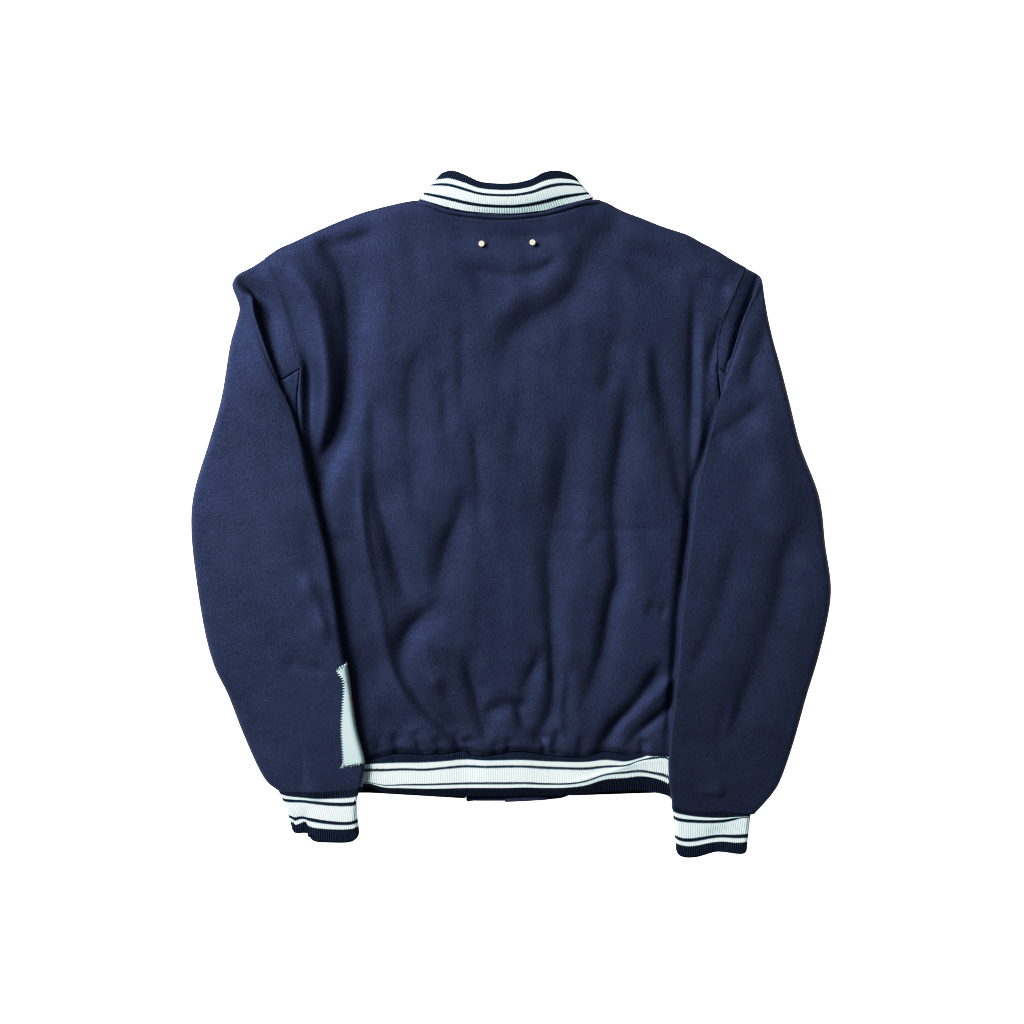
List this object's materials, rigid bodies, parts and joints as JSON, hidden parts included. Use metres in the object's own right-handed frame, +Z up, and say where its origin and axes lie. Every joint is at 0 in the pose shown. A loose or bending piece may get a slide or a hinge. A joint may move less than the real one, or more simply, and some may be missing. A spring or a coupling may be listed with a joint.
{
  "type": "bomber jacket, laid flat with its back up",
  "caption": "Wool bomber jacket with a striped rib collar, cuffs and hem, lying flat with its back up and its sleeves folded down over the sides.",
  "frame": {"origin": "on the surface it lies on, under the middle of the jacket's outline", "axes": "+Z up out of the surface through the jacket's back, +Y along the centre back from the hem to the collar, +X to the wearer's right"},
  "size_m": [0.724, 0.7763, 0.0291],
  "materials": {
    "wool": "napped navy wool melton, matt with a soft sheen",
    "rib": "two-colour rib knit, pale with navy stripes, matt",
    "patch": "smooth pale leather with a pinked edge, low gloss",
    "stud": "polished pale brass",
    "snap": "dark enamel, semi gloss"
  },
  "bodies": {
    "root": {"back": "wool", "front_left": "wool", "front_right": "wool", "sleeve_left": "wool", "sleeve_right": "wool", "hem_tab_left": "wool", "hem_tab_right": "wool", "collar_rib": "rib", "hem_rib": "rib", "cuff_left": "rib", "cuff_right": "rib", "sleeve_patch": "patch", "back_stud_left": "stud", "back_stud_right": "stud", "snap_1": "snap", "snap_2": "snap", "snap_3": "snap", "snap_4": "snap", "snap_5": "snap", "snap_6": "snap", "snap_7": "snap"}
  },
  "joints": []
}
